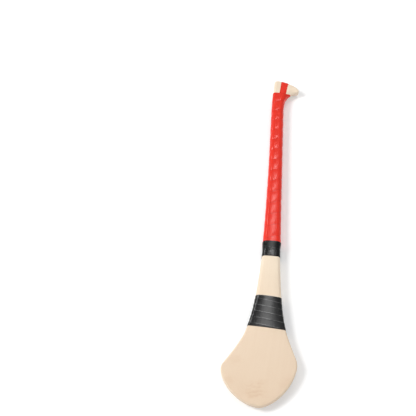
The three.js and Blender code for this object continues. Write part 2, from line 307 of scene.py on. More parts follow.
@dataclass(frozen=True)
class AshFinish(Finish):
    """Pale ash, sanded smooth under a thin satin sealer.

    A share says how much something adds to a colour, except the plain share, which is taken off again. A
    span is where something eases in.
    """

    pale: Colour = (0.836, 0.667, 0.5, 1.0)
    # sap: ground colour along the handle, paler than over the bas.
    handle_tone: Colour = (0.895, 0.755, 0.58, 1.0)
    warm: Colour = (0.755, 0.555, 0.385, 1.0)
    # cream: paler colour along the rounded edges, partly sanding and partly a painted highlight where the
    # edges catch the light.
    pale_edge_highlight: Colour = (0.95, 0.82, 0.67, 1.0)
    pore: Colour = (0.62, 0.43, 0.29, 1.0)
    fibre: Grain = Grain((900.0, 16.0, 900.0), detail=4.0, roughness=0.6)
    streak: Grain = Grain((150.0, 5.0, 150.0), detail=3.0, roughness=0.5, seed=5.0)
    pores: Grain = Grain((1700.0, 90.0, 1700.0), detail=2.0, roughness=0.5, seed=3.0)
    waver: Grain = Grain((26.0, 12.0, 26.0), detail=3.0, roughness=0.5, seed=7.0)
    ragged: Grain = Grain((70.0, 130.0, 70.0), detail=3.0, roughness=0.6, seed=13.0)
    patch_scale: float = 21.0
    patch_seed: float = 11.0
    heart_across: float = 15.0 * MM
    heart_station: float = 560.0 * MM
    heart_slope: float = 0.8
    ring_spacing: float = 5.4 * MM
    ring_waver: float = 6.5
    ring_rise: Pair = (0.0, 0.75)
    ring_fall: Pair = (0.86, 1.0)
    pore_span: Pair = (0.62, 0.74)
    patch_span: Pair = (0.4, 0.72)
    early_span: Pair = (0.1, 0.45)
    toe_span: Pair = (600.0 * MM, 710.0 * MM)
    handle_tone_span: Pair = (440.0 * MM, 600.0 * MM)
    ring_share: float = 0.03
    figure_share: float = 0.4
    patch_share: float = 0.12
    stain_share: float = 0.31
    toe_share: float = 0.24
    streak_share: float = 0.34
    fibre_share: float = 0.2
    plain_share: float = 0.22
    painted_edge_share: float = 0.28
    pore_share: float = 0.08
    early_share: float = 0.3
    fibre_relief: float = 0.5
    ring_relief: float = 0.3
    pore_relief: float = 0.6
    relief_strength: float = 0.4
    roughness: float = 0.46
    fibre_roughness: float = 0.12
    sealer: float = 0.1
    sealer_roughness: float = 0.35
    figure: Triple = (3.0, 687.0, 16.0)
    stains: tuple[Triple, ...] = (
        (-38.0, 640.0, 11.0), (-41.0, 671.0, 8.0), (52.0, 669.0, 13.0), (1.0, 692.0, 13.0), (8.0, 673.0, 7.0))
    area_squash: float = 1.3
    area_raggedness: float = 3.0
    area_span: Pair = (0.1, 1.5)

    def near(self, sketch: Sketch, place: Parts, area: Triple, ragged: Expression) -> Expression:
        """Share from 1 inside a ragged round area to 0 outside it.

        Args:
            sketch: The material's sketch.
            place: Where it is read.
            area: The area's across, along and reach, in millimetres.
            ragged: Noise that breaks its edge.

        Returns:
            The share.
        """
        reach = area[2] * MM
        aside = (place[0] - area[0] * MM) / reach
        ahead = (place[1] - area[1] * MM) / reach * self.area_squash
        distance = sketch.math("SQRT", aside * aside + ahead * ahead) + (ragged - 0.5) * self.area_raggedness
        return 1.0 - sketch.ease(distance, *self.area_span)

    def dress(self, sketch: Sketch) -> dict[str, Term]:
        """Grain that follows the stick, growth rings that surface near the toe, pores, a ground that is paler
        along the handle and darker towards the bas, and paler edges that are partly sanding and partly a
        painted highlight.

        Args:
            sketch: The material's sketch.

        Returns:
            Values or links of the shader's sockets, by name.
        """
        growth = sketch.attribute("growth")
        place = sketch.parts(growth)
        across, along, depth = place
        fibre, streak = self.fibre.at(sketch, place), self.streak.at(sketch, place)
        pores = sketch.ease(self.pores.at(sketch, place), *self.pore_span)
        from_heart = across - self.heart_across
        past_heart = depth + (along - self.heart_station) * self.heart_slope
        radius = sketch.math("SQRT", from_heart * from_heart + past_heart * past_heart)
        waver = self.waver.at(sketch, place) * self.ring_waver
        band = sketch.math("FRACT", radius / self.ring_spacing + waver)
        ring = sketch.ease(band, *self.ring_rise) * (1.0 - sketch.ease(band, *self.ring_fall))
        patch = sketch.ease(sketch.noise(growth, self.patch_scale, seed=self.patch_seed), *self.patch_span)
        ragged = self.ragged.at(sketch, place)
        surfaced = self.near(sketch, place, self.figure, ragged)
        stained = self.near(sketch, place, self.stains[0], ragged)
        for area in self.stains[1:]:
            stained = sketch.math("MAXIMUM", stained, self.near(sketch, place, area, ragged))
        warmth = (ring * (self.ring_share + self.figure_share * surfaced) + patch * self.patch_share
                  + stained * self.stain_share + sketch.ease(along, *self.toe_span) * self.toe_share
                  + streak * self.streak_share + fibre * self.fibre_share - self.plain_share)
        # The ground is paler along the handle and darker from the throat to the bas, and warmer again towards
        # the toe.
        ground = sketch.blend(sketch.ease(along, *self.handle_tone_span), self.handle_tone, self.pale)
        wood = sketch.blend(sketch.clamp(warmth, 0.0, 1.0), ground, self.warm)
        # Paler along the rounded edges: partly sanding, partly a painted highlight.
        wood_with_pale_edges = sketch.blend(sketch.attribute("edge", "Fac") * self.painted_edge_share, wood, self.pale_edge_highlight)
        early = (1.0 - sketch.ease(band, *self.early_span)) * self.early_share + self.pore_share
        height = fibre * self.fibre_relief + ring * self.ring_relief - pores * self.pore_relief
        return {
            "Base Color": sketch.blend(pores * early, wood_with_pale_edges, self.pore),
            "Roughness": self.roughness + fibre * self.fibre_roughness,
            "Coat Weight": self.sealer,
            "Coat Roughness": self.sealer_roughness,
            "Normal": sketch.bump(height, self.relief_strength),
        }


@dataclass(frozen=True)
class GripFinish(Finish):
    """Red cushioned grip: smooth, slightly mottled, with painted shade along the edge that laps the turn
    before.
    """

    red: Colour = (0.79, 0.028, 0.012, 1.0)
    # deep: painted shade for the shadow line in the lap, along each turn's lapping edge.
    lap_shade: Colour = (0.52, 0.01, 0.006, 1.0)
    bright: Colour = (0.84, 0.041, 0.021, 1.0)
    mottle_span: Pair = (0.35, 0.75)
    bright_share: float = 0.45
    edge_span: Pair = (0.5 * MM, 2.0 * MM)
    painted_edge_share: float = 0.42
    roughness: float = 0.42
    mottle_roughness: float = 0.12
    specular: float = 0.1
    skin: float = 0.48
    skin_roughness: float = 0.175
    relief_strength: float = 0.35

    def dress(self, sketch: Sketch) -> dict[str, Term]:
        """Fine pebbling under a glossy skin, and painted shade along the lapping edge.

        Args:
            sketch: The material's sketch.

        Returns:
            Values or links of the shader's sockets, by name.
        """
        place = sketch.value("ShaderNodeTexCoord", output="Object")
        _, across, _ = sketch.parts(sketch.attribute("strip"))
        mottle = sketch.noise(place, scale=160.0, detail=3.0, roughness=0.55, seed=2.0)
        pebble = sketch.noise(place, scale=1500.0, detail=2.0, roughness=0.6, seed=5.0)
        # Mask of the painted shade along the lapping edge.
        painted_lap_line = 1.0 - sketch.ease(across, *self.edge_span)
        tone = sketch.blend(sketch.ease(mottle, *self.mottle_span) * self.bright_share, self.red, self.bright)
        return {
            "Base Color": sketch.blend(painted_lap_line * self.painted_edge_share, tone, self.lap_shade),
            "Roughness": self.roughness + mottle * self.mottle_roughness,
            "Specular IOR Level": self.specular,
            "Coat Weight": self.skin,
            "Coat Roughness": self.skin_roughness,
            "Normal": sketch.bump(pebble, self.relief_strength),
        }


@dataclass(frozen=True)
class TapeFinish(Finish):
    """Black plastic tape, glossy, stretched as it was wound, and paler grey along its lapping edge, partly
    rubbed wear and partly a painted highlight.
    """

    black: Colour = (0.003, 0.003, 0.0032, 1.0)
    # worn: pale grey for the lapping edge, partly rubbed wear and partly a painted highlight on the lap line;
    # also the faint rubbing on the face.
    wear_and_highlight: Colour = (0.12, 0.122, 0.12, 1.0)
    stretch: Grain = Grain((60.0, 1400.0, 1.0), detail=3.0, roughness=0.6, seed=4.0)
    patchiness: Grain = Grain((60.0, 200.0, 1.0), detail=3.0, roughness=0.6, seed=9.0)
    edge_span: Pair = (0.5 * MM, 1.1 * MM)
    lap_line_breakup: Pair = (0.35, 0.6)
    painted_edge_share: float = 0.8
    face_rubbing: Pair = (0.6, 0.9)
    face_share: float = 0.02
    roughness: float = 0.15
    stretch_roughness: float = 0.1
    specular: float = 0.6
    relief_strength: float = 0.5

    def dress(self, sketch: Sketch) -> dict[str, Term]:
        """Stretch lines along the strip, and a lapping edge painted paler grey, partly rubbed wear and partly
        a painted highlight.

        Args:
            sketch: The material's sketch.

        Returns:
            Values or links of the shader's sockets, by name.
        """
        strip = sketch.parts(sketch.attribute("strip"))
        stretch, patchiness = self.stretch.at(sketch, strip), self.patchiness.at(sketch, strip)
        # Paler grey along the lapping edge, broken up by noise: partly rubbed wear, partly a painted
        # highlight.
        painted_lap_line = (1.0 - sketch.ease(strip[1], *self.edge_span)) * sketch.ease(patchiness, *self.lap_line_breakup)
        wear_and_highlight_share = painted_lap_line * self.painted_edge_share + sketch.ease(patchiness, *self.face_rubbing) * self.face_share
        return {
            "Base Color": sketch.blend(sketch.clamp(wear_and_highlight_share, 0.0, 1.0), self.black, self.wear_and_highlight),
            "Roughness": self.roughness + stretch * self.stretch_roughness,
            "Specular IOR Level": self.specular,
            "Normal": sketch.bump(stretch, self.relief_strength),
        }


@dataclass(frozen=True)
class Side:
    """One side of the outline: points from the butt to the bas's end, with directions into the wood."""

    points: np.ndarray
    inward: np.ndarray

    @classmethod
    def from_run(cls, points: np.ndarray, sign: float) -> "Side":
        """Cleans a run of points and finds the direction into the wood at each.

        Args:
            points: The run from the butt on.
            sign: 1 for the toe's side and -1 for the heel's side.

        Returns:
            The side.
        """
        ahead = np.r_[True, np.diff(points[:, 1]) > 0]
        clean = points[ahead]
        run = np.empty_like(clean)
        run[1:-1] = clean[2:] - clean[:-2]
        run[0] = clean[1] - clean[0]
        run[-1] = clean[-1] - clean[-2]
        run /= np.linalg.norm(run, axis=1)[:, None]
        inward = np.column_stack([sign * run[:, 1], -sign * run[:, 0]])
        inward[0] = (0.0, 1.0)
        inward[-1] = (0.0, -1.0)
        return cls(clean, inward)

    def at(self, along: np.ndarray) -> tuple[np.ndarray, np.ndarray]:
        """Places and directions at stations.

        Args:
            along: Stations from the butt, in millimetres.

        Returns:
            The points and the unit directions into the wood.
        """
        stations = self.points[:, 1]
        point = np.stack([np.interp(along, stations, self.points[:, k]) for k in (0, 1)], axis=-1)
        inward = np.stack([np.interp(along, stations, self.inward[:, k]) for k in (0, 1)], axis=-1)
        return point, inward / np.linalg.norm(inward, axis=-1, keepdims=True)


@dataclass(frozen=True)
class StickForm:
    """The stick's shape: one outline with two sides, and a thickness that changes along it."""

    length: float = 711.0
    butt_offset: float = 2.0
    knob_plain: Pair = (8.2, 5.5)
    hook_tip: Pair = (44.0, 24.0)
    hook_under: Pair = (28.0, 34.0)
    hook_bend: float = 0.6
    flare_bends: Pair = (0.62, 0.6)
    neck_station: float = 82.0
    neck_reach: Pair = (10.5, 11.9)
    mid_station: float = 245.0
    mid_reach: Pair = (11.2, 13.0)
    grip_end: float = 409.0
    grip_end_reach: Pair = (15.3, 14.7)
    throat_station: float = 521.0
    throat_reach: Pair = (24.6, 20.1)
    shoulder_station: float = 580.0
    shoulder_reach: Pair = (36.4, 28.9)
    flank: Pair = (51.5, 613.0)
    toe_reach: float = 74.5
    toe_height: float = 62.0
    toe_round: float = 5.0
    heel_reach: float = 49.6
    heel_height: float = 75.0
    heel_round: float = 9.0
    bas_end_offset: float = 11.0
    knob_roundness: float = 2.0
    hook_roundness: float = 1.5
    toe_roundness: float = 1.74
    heel_roundness: float = 1.63
    knob_length: float = 39.0
    thicknesses: tuple[Pair, ...] = (
        (245.0, 18.5), (409.0, 19.4), (521.0, 20.6), (550.5, 19.88), (580.0, 18.2), (711.0, 9.5))
    insets: tuple[Pair, ...] = (
        (39.0, 5.5), (82.0, 7.0), (521.0, 6.0), (580.0, 3.4), (711.0, 2.8))
    falls: tuple[Pair, ...] = (
        (39.0, 5.0), (82.0, 6.5), (521.0, 5.5), (580.0, 3.2), (711.0, 2.8))
    hook_rounding: tuple[Pair, ...] = ((29.0, 0.0), (37.0, 3.2), (50.0, 3.2), (80.0, 0.0))
    axis_across: float = 12.704
    arc_steps: ClassVar[int] = 160
    curve_steps: ClassVar[int] = 60

    def quarter_arc(self, flat_end: Pair, steep_end: Pair,
                    roundness: float) -> np.ndarray:
        """A quarter of a superellipse.

        Args:
            flat_end: Its end that runs across the stick.
            steep_end: Its end that runs along the stick.
            roundness: 2 for an ellipse, less for a flatter arc.

        Returns:
            The points from the flat end to the steep end.
        """
        angle = np.linspace(0.0, math.pi / 2, self.arc_steps + 1)
        out = np.abs(np.sin(angle)) ** (2 / roundness)
        back = np.abs(np.cos(angle)) ** (2 / roundness)
        return np.column_stack([
            flat_end[0] + (steep_end[0] - flat_end[0]) * out,
            steep_end[1] + (flat_end[1] - steep_end[1]) * back,
        ])

    def bezier(self, *controls: Pair) -> np.ndarray:
        """Points of a Bezier curve of any degree on the controls."""
        share = np.linspace(0.0, 1.0, self.curve_steps + 1)[:, None]
        degree = len(controls) - 1
        terms = [math.comb(degree, k) * share ** k * (1 - share) ** (degree - k) * np.array(control)
                 for k, control in enumerate(controls)]
        return sum(terms)

    def spline(self, *knots: Pair) -> np.ndarray:
        """Points of a uniform Catmull-Rom spline through the knots.

        Args:
            knots: The points that it goes through.

        Returns:
            The points.
        """
        known = np.array(knots)
        last = len(known) - 1
        place = np.linspace(0.0, last, self.curve_steps * len(known) + 1)
        start = np.minimum(place.astype(int), last - 1)
        share = (place - start)[:, None]
        before, here = known[np.maximum(start - 1, 0)], known[start]
        there, beyond = known[start + 1], known[np.minimum(start + 2, last)]
        leave, arrive = (there - before) / 2, (beyond - here) / 2
        cubic = 2 * here - 2 * there + leave + arrive
        square = 3 * there - 3 * here - 2 * leave - arrive
        return cubic * share ** 3 + square * share ** 2 + leave * share + here

    def round_corner(self, before: np.ndarray, after: np.ndarray, size: float) -> np.ndarray:
        """Joins two runs that meet at a corner, and rounds the corner.

        Args:
            before: The run that ends at the corner.
            after: The run that starts at the corner.
            size: How far the rounding reaches.

        Returns:
            The joined run.
        """
        corner = after[0]
        kept = before[np.linalg.norm(before - corner, axis=1) > size]
        rest = after[np.linalg.norm(after - corner, axis=1) > size]
        bend = self.bezier(tuple(kept[-1]), tuple(corner), tuple(rest[0]))
        return np.vstack([kept[:-1], bend, rest[1:]])

    def handle(self, side: int) -> list[Pair]:
        """Reach and station of each knot from the neck to the shoulder: side 0 is the toe's, 1 the heel's."""
        named = ((self.neck_reach, self.neck_station), (self.mid_reach, self.mid_station),
                 (self.grip_end_reach, self.grip_end), (self.throat_reach, self.throat_station),
                 (self.shoulder_reach, self.shoulder_station))
        return [(reach[side], station) for reach, station in named]

    def toe_side(self) -> Side:
        """The side of the toe and of the knob's plain end.

        Returns:
            The side.
        """
        butt = (-self.butt_offset, 0.0)
        corner = (-self.knob_plain[0], self.knob_plain[1])
        toe = (-self.toe_reach, self.length - self.toe_height)
        arc = self.quarter_arc((-self.bas_end_offset, self.length), toe, self.toe_roundness)[::-1]
        knots = [(-reach, station) for reach, station in (*self.handle(0), self.flank)]
        run = self.spline(corner, *knots, toe)
        knob = self.quarter_arc(butt, corner, self.knob_roundness)
        return Side.from_run(np.vstack([knob, self.round_corner(run, arc, self.toe_round)]), 1.0)

    def heel_side(self) -> Side:
        """The side of the heel and of the knob's hook.

        Returns:
            The side.
        """
        tip, under = self.hook_tip, self.hook_under
        neck, *knots = self.handle(1)
        heel = (self.heel_reach, self.length - self.heel_height)
        slope = (under[1] - tip[1]) / (tip[0] - under[0])
        arc = self.quarter_arc((-self.bas_end_offset, self.length), heel, self.heel_roundness)[::-1]

        def beyond_under(across: float) -> Pair:
            """A point on the line of the hook's underside."""
            return under[0] + across, under[1] - slope * across

        bend = beyond_under((tip[0] - under[0]) * self.hook_bend)
        hook = self.bezier(tip, (tip[0], (tip[1] + under[1]) / 2), bend, under)
        flare = self.bezier(
            under,
            beyond_under((neck[0] - under[0]) * self.flare_bends[0]),
            (neck[0], neck[1] + (under[1] - neck[1]) * self.flare_bends[1]),
            neck,
        )
        run = self.spline(neck, *knots, heel)
        butt = self.quarter_arc((-self.butt_offset, 0.0), tip, self.hook_roundness)
        rounded = self.round_corner(run, arc, self.heel_round)
        return Side.from_run(np.vstack([butt, hook, flare, rounded]), -1.0)

    @staticmethod
    def runs(pairs: tuple[Pair, ...], along: np.ndarray) -> np.ndarray:
        """Values at stations, in straight runs between the pairs."""
        stations, values = zip(*pairs)
        return np.interp(along, stations, values)

    def half_thickness(self, along: np.ndarray) -> np.ndarray:
        """Half of the wood's thickness at stations."""
        return self.runs(self.thicknesses, along) / 2

    def row(self, points: np.ndarray) -> np.ndarray:
        """Places in the row frame, in metres.

        Args:
            points: Across, along and height above the stick's middle plane, in millimetres.

        Returns:
            The same points in the row frame.
        """
        low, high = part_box(Node.STICK.value)
        across = points[..., 0] * MM + self.axis_across * MM
        along = high.y - points[..., 1] * MM
        height = points[..., 2] * MM + (low.z + high.z) / 2
        return np.stack([across, along, height], axis=-1)


def new_object(name: str, mesh: bpy.types.Mesh, material: bpy.types.Material) -> bpy.types.Object:
    """Adds an object to the scene.

    Args:
        name: The object's name.
        mesh: Its mesh, in place.
        material: Its only material.

    Returns:
        The object.
    """
    made = bpy.data.objects.new(name, mesh)
    mesh.materials.clear()
    mesh.materials.append(material)
    bpy.context.scene.collection.objects.link(made)
    return made


def ring_faces(count: int, size: int) -> list[list[int]]:
    """Faces that join closed rings of vertices.

    Args:
        count: Number of rings.
        size: Number of vertices in each.

    Returns:
        The faces as lists of vertices.
    """
    return [[base + k, base + (k + 1) % size, base + size + (k + 1) % size, base + size + k]
            for base in range(0, (count - 1) * size, size) for k in range(size)]


def mesh_from(name: str, points: np.ndarray, faces: list[list[int]], sharp_over: float,
              attributes: dict[str, np.ndarray] | None = None) -> bpy.types.Mesh:
    """Makes a closed, smooth mesh whose faces point outward.

    Args:
        name: The mesh's name.
        points: Its vertices in metres.
        faces: Its faces as lists of vertices.
        sharp_over: Edges bent by more than this angle stay sharp.
        attributes: Values or vectors for each vertex, by name.

    Returns:
        The mesh.
    """
    mesh = bpy.data.meshes.new(name)
    mesh.from_pydata(points.tolist(), [], faces)
    for key, values in (attributes or {}).items():
        kind = "FLOAT" if values.ndim == 1 else "FLOAT_VECTOR"
        made = mesh.attributes.new(key, kind, "POINT")
        made.data.foreach_set("value" if values.ndim == 1 else "vector", values.astype(np.float32).ravel())
    work = bmesh.new()
    work.from_mesh(mesh)
    bmesh.ops.remove_doubles(work, verts=work.verts, dist=MERGED_WITHIN)
    bmesh.ops.recalc_face_normals(work, faces=work.faces)
    for face in work.faces:
        face.smooth = True
    work.to_mesh(mesh)
    work.free()
    mesh.set_sharp_from_angle(angle=sharp_over)
    return mesh


def finish_piece(piece: bpy.types.Object, node: Node) -> None:
    """Gives a piece its place in the frame and reports it.

    Args:
        piece: The finished piece.
        node: The solid that it stands for.
    """
    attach(piece, "root")
    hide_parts(node.value)
    log.info("%s: %d faces, stands for %s", piece.name, len(piece.data.polygons), node.value)


@dataclass
class AshStick:
    """The one-piece ash stick: knob, handle, throat and bas."""

    form: StickForm
    finish: AshFinish
    ring_step: float = 2.4
    corner_steps: int = 16
    face_steps: int = 12
    crowns: tuple[Pair, ...] = (
        (60.0, 0.0), (100.0, 1.2), (409.0, 1.3), (521.0, 1.9), (580.0, 1.8), (640.0, 0.8), (711.0, 0.3))
    crown_raise: float = 0.35
    least_half_width: float = 1.0
    hook_stations: Pair = (30.0, 40.0)
    hook_thinning: float = 0.3
    hook_reach: float = 8.0
    grain_sweep: float = 0.00025

    def ring_stations(self, sides: tuple[Side, Side]) -> np.ndarray:
        """Stations whose rings are never further apart than the ring step along either side.

        Args:
            sides: The outline's two sides.

        Returns:
            The stations from the butt to the bas's end.
        """
        known = np.unique(np.concatenate([side.points[:, 1] for side in sides]))
        gaps = np.zeros(len(known) - 1)
        for side in sides:
            points, _ = side.at(known)
            gaps = np.maximum(gaps, np.linalg.norm(np.diff(points, axis=0), axis=1))
        walked = np.concatenate([[0.0], np.cumsum(gaps)])
        count = math.ceil(walked[-1] / self.ring_step)
        return np.interp(np.linspace(0.0, walked[-1], count + 1), walked, known)

    def corner(self, side: Side, along: np.ndarray, angle: float) -> np.ndarray:
        """Points on the rounding of one side's long edge.

        Args:
            side: The outline's side.
            along: Stations.
            angle: A quarter turn at the face's edge, and 0 at the middle of the side.

        Returns:
            Across, along and height for each station.
        """
        point, inward = side.at(along)
        extra = StickForm.runs(self.form.hook_rounding, along) * (inward[:, 0] < 0)
        inset = StickForm.runs(self.form.insets, along) + extra
        fall = StickForm.runs(self.form.falls, along) + extra
        place = point + inward * (inset * (1 - math.cos(angle)))[:, None]
        height = self.form.half_thickness(place[:, 1]) - fall * (1 - math.sin(angle))
        return np.column_stack([place, height])

    def crowned(self, rings: np.ndarray, sides: tuple[Side, Side], along: np.ndarray) -> np.ndarray:
        """Swells the faces a little in their middle.

        Args:
            rings: Points of each ring.
            sides: The outline's two sides.
            along: The rings' stations.

        Returns:
            The rings with swollen faces.
        """
        reach = [side.at(along)[0][:, :1] for side in sides]
        centre = (reach[0] + reach[1]) / 2
        half = np.maximum(np.abs(reach[1] - reach[0]) / 2, self.least_half_width)
        share = np.clip((rings[..., 0] - centre) / half, -1.0, 1.0)
        crown = StickForm.runs(self.crowns, along)[:, None]
        swell = crown * (self.crown_raise - share ** 2) / self.form.half_thickness(along)[:, None]
        swollen = rings.copy()
        swollen[..., 2] *= 1 + swell
        return swollen

    def thinned(self, rings: np.ndarray, heel: Side) -> np.ndarray:
        """Thins the hook softly toward its underside.

        Args:
            rings: Points of each ring.
            heel: The outline's side with the hook.

        Returns:
            The rings with a thinner hook.
        """
        low, high = self.hook_stations
        hook = heel.points[(heel.points[:, 1] > low) & (heel.points[:, 1] < high)]
        near = rings[:, :, None, :2] - hook[None, None]
        distance = np.linalg.norm(near, axis=-1).min(axis=-1)
        softened = rings.copy()
        softened[..., 2] *= 1 - self.hook_thinning * np.exp(-(distance / self.hook_reach) ** 2)
        return softened

    def build(self) -> bpy.types.Object:
        """Builds the stick as rings round the outline.

        Returns:
            The stick.
        """
        toe, heel = self.form.toe_side(), self.form.heel_side()
        along = self.ring_stations((toe, heel))
        angles = np.linspace(math.pi / 2, 0.0, self.corner_steps + 1)
        toe_corner = [self.corner(toe, along, angle) for angle in angles]
        heel_corner = [self.corner(heel, along, angle) for angle in angles]
        edges = list(np.sin(np.linspace(0.0, math.pi / 2, self.corner_steps + 1)))
        mirror = np.array((1.0, 1.0, -1.0))
        shares = np.linspace(0.0, 1.0, self.face_steps + 1)[1:-1]
        front = [heel_corner[0] * (1 - share) + toe_corner[0] * share for share in shares]
        for place in front:
            place[:, 2] = self.form.half_thickness(place[:, 1])
        columns = [*toe_corner, *[c * mirror for c in reversed(toe_corner)],
                   *[c * mirror for c in reversed(front)],
                   *[c * mirror for c in heel_corner], *reversed(heel_corner), *front]
        plain = [0.0] * (self.face_steps - 1)
        edge = [*edges, *reversed(edges), *plain, *edges, *reversed(edges), *plain]
        rings = self.thinned(self.crowned(np.stack(columns, axis=1), (toe, heel), along), heel)
        count, size = rings.shape[:2]
        flat = rings.reshape(-1, 3)
        sweep = self.grain_sweep * np.maximum(flat[:, 1] - self.form.grip_end, 0.0) ** 2
        growth = np.column_stack([flat[:, 0] + sweep, flat[:, 1], flat[:, 2]]) * MM
        mesh = mesh_from("hurley_stick", self.form.row(flat), ring_faces(count, size), STICK_CREASE, {
            # The edge share, which the ash finish paints paler, partly as a painted highlight on the
            # rounding.
            "growth": growth,
            "edge": np.tile(edge, count),
        })
        return new_object("hurley_stick", mesh, self.finish.material())


class WindingTree:
    """Geometry Nodes that wind one lapped strip round the stick, following its skin."""

    INPUTS: ClassVar[dict[str, tuple[str, ...]]] = {
        "NodeSocketObject": ("Stick",),
        "NodeSocketMaterial": ("Finish",),
        "NodeSocketInt": ("Steps round", "Steps across"),
        "NodeSocketFloat": (
            "Start", "End", "Pitch", "Lap", "Ramp", "Edge", "Body", "Edge rise", "Edge fall", "Turn gap",
            "Seat", "Slant", "Way", "Climb", "Climb length", "Lift", "Lift length", "Tip", "Unevenness",
            "Seed", "Butt", "Axis across", "Middle height"),
    }
    FIRST_STEP: ClassVar[float] = 0.35
    BUMP_SCALE: ClassVar[float] = 95.0

    def __init__(self) -> None:
        """Starts the tree, with a named input for each size."""
        self.tree = bpy.data.node_groups.new("lapped winding", "GeometryNodeTree")
        self.tree.interface.new_socket("Strip", in_out="OUTPUT", socket_type="NodeSocketGeometry")
        for kind, names in self.INPUTS.items():
            for name in names:
                self.tree.interface.new_socket(name, in_out="INPUT", socket_type=kind)
        self.sketch = Sketch(self.tree)
        given = self.sketch.node("NodeGroupInput")
        self.size = {socket.name: Expression(self.sketch, socket) for socket in given.outputs if socket.name}

    def build(self) -> bpy.types.NodeTree:
        """Builds the tree: a block of points that becomes the strip, as one mesh with its finish.

        Returns:
            The tree.
        """
        sketch, size = self.sketch, self.size
        turns = (size["End"] - size["Start"]) / size["Pitch"] + 1.0
        block = sketch.value("GeometryNodeMeshCube", inputs={
            "Size": (1.0, 1.0, 1.0),
            "Vertices X": turns * size["Steps round"],
            "Vertices Y": size["Steps across"],
            "Vertices Z": 2,
        })
        run, breadth, layer = sketch.parts(sketch.value("GeometryNodeInputPosition"))
        tip = size["Tip"] / size["Pitch"]
        turn = tip + (turns - tip) * (run + 0.5)
        station, first, below, final = self.stations(turn, breadth + 0.5)
        under, thick = self.heights(station, first, below, final)
        foot, normal, walk = self.foot(station, turn)
        bumps = sketch.noise(foot, self.BUMP_SCALE, seed=size["Seed"]) - 0.5
        height = under + (layer + 0.5) * (thick + bumps * size["Unevenness"])
        place = sketch.vector_math("ADD", foot, sketch.scaled(normal, height))
        strip = sketch.value(
            "GeometryNodeStoreNamedAttribute",
            {"data_type": "FLOAT_VECTOR", "domain": "POINT"},
            {"Geometry": block, "Name": "strip", "Value": sketch.vector(walk, station - first, turn)})
        for kind, inputs in (("GeometryNodeSetPosition", {"Position": place}),
                             ("GeometryNodeSetShadeSmooth", {"Shade Smooth": True}),
                             ("GeometryNodeRealizeInstances", {}),
                             ("GeometryNodeSetMaterial", {"Material": size["Finish"]})):
            strip = sketch.value(kind, inputs={"Geometry": strip, **inputs})
        sketch.node("NodeGroupOutput", inputs={"Strip": strip})
        return self.tree

    def stations(self, turn: Expression,
                 share: Expression) -> tuple[Expression, Expression, Expression, Expression]:
        """Where a point of the strip stands along the stick.

        Args:
            turn: Turns wound so far.
            share: Share of the way across the strip.

        Returns:
            The point's station, the strip's first edge, the edge of the turn below, and its final edge.
        """
        size = self.size
        below = size["Start"] + size["Pitch"] * (turn - 1.0)
        first = self.sketch.math("MAXIMUM", size["Start"], below - size["Lap"])
        final = self.sketch.math("MINIMUM", size["End"], below + size["Pitch"])
        dense = share * (self.FIRST_STEP + (1.0 - self.FIRST_STEP) * share)
        return first + (final - first) * dense, first, below, final

    def heights(self, station: Expression, first: Expression, below: Expression,
                final: Expression) -> tuple[Expression, Expression]:
        """How high the strip's underside stands over the wood, and how thick the strip is.

        Args:
            station: The point's station.
            first: The strip's first edge.
            below: The edge of the turn below.
            final: The strip's final edge.

        Returns:
            The height of the underside and the thickness.
        """
        sketch, size = self.sketch, self.size
        gain = size["Body"] - size["Edge"]

        def risen(distance: Expression, over: Expression) -> Expression:
            """Share of the full thickness at a distance from an edge that rises over a length."""
            return sketch.math("SINE", sketch.clamp(distance / over, 0.0, 1.0) * (math.pi / 2))

        rise = risen(station - first, size["Edge rise"])
        thick = size["Edge"] + gain * sketch.math("MINIMUM", rise, risen(final - station, size["Edge fall"]))
        over = size["Edge"] + size["Turn gap"]
        lapped = over + gain * risen(below - station, size["Edge fall"])
        eased = over * (1.0 - sketch.ease(station - below, 0.0, size["Ramp"]))
        on_turn = sketch.math("GREATER_THAN", below, station)
        raised = lapped * on_turn + eased * (1.0 - on_turn)
        lift = size["Lift"] * (1.0 - sketch.ease(station - size["Start"], 0.0, size["Lift length"]))
        return size["Seat"] + raised + lift, thick

    def foot(self, station: Expression, turn: Expression) -> Parts:
        """Where a point of the strip stands on the wood.

        Rays from the section's core line meet the wood. They start at the front face's edge and go down one
        side, over the back and up the other: the heel's side first where the way is 1, the toe's where it
        is -1. A climb draws the strip's start further up under the hook.

        Args:
            station: The point's station.
            turn: Turns wound so far.

        Returns:
            The foot on the wood, the wood's normal there, and the way walked along the strip.
        """
        sketch, size = self.sketch, self.size
        skin = sketch.value("GeometryNodeObjectInfo", inputs={"Object": size["Stick"]}, output="Geometry")
        along = size["Butt"] - station
        middle = size["Middle height"]

        def ray(source: Expression, direction: Term) -> Expression:
            """Where a ray from inside meets the wood."""
            inputs = {"Target Geometry": skin, "Source Position": source, "Ray Direction": direction,
                      "Ray Length": 1.0}
            return sketch.value("GeometryNodeRaycast", {}, inputs, "Hit Position")

